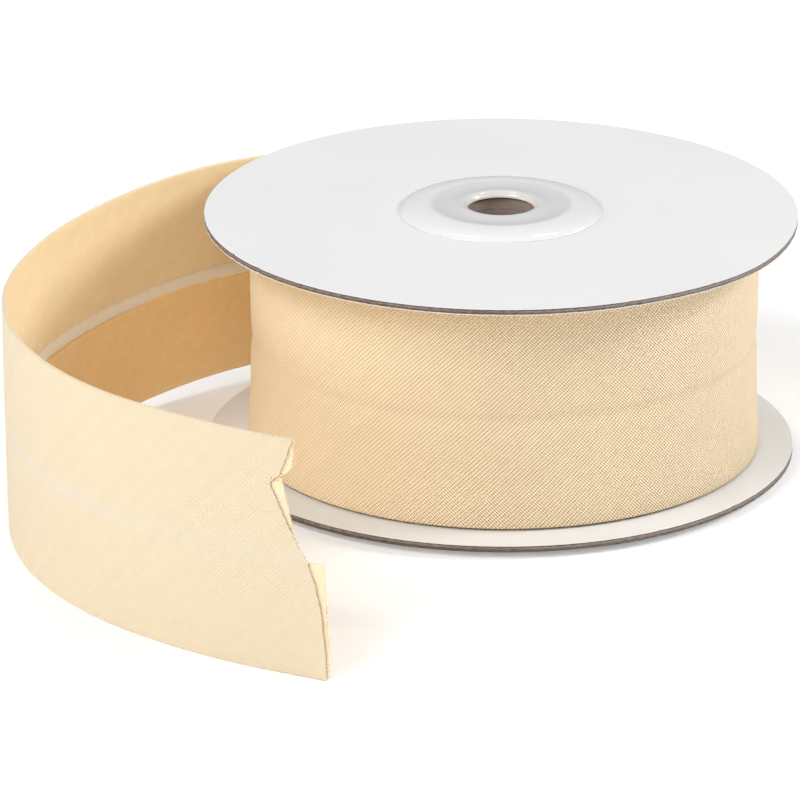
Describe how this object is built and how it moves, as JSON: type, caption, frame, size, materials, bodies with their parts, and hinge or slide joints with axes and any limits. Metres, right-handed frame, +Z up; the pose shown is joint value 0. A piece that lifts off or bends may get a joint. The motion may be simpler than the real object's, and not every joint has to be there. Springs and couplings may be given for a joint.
{
  "type": "roll of bias tape",
  "caption": "Single-fold bias tape wound on a white cardboard spool with moulded hub caps, its loose folded end standing in a wide curve beside it.",
  "frame": {"origin": "bottom centre of the whole part's box, on the surface that the spool and the loose end stand on", "axes": "+Z up along the spool's axis, +X to the right and +Y away from the side where the cut end lies"},
  "size_m": [0.1358, 0.1542, 0.0455],
  "materials": {
    "tape": "matt cream cotton, plain weave on the bias",
    "board": "white-faced board with a brown-grey core at its cut edge",
    "tube": "plain brown-grey wound paper",
    "hub": "white moulded plastic, glossy"
  },
  "bodies": {
    "root": {"flange_bottom": "board", "flange_top": "board", "core_tube": "tube", "hub_cap_bottom": "hub", "hub_cap_top": "hub", "tape_roll": "tape", "tape_tail": "tape"}
  },
  "joints": []
}
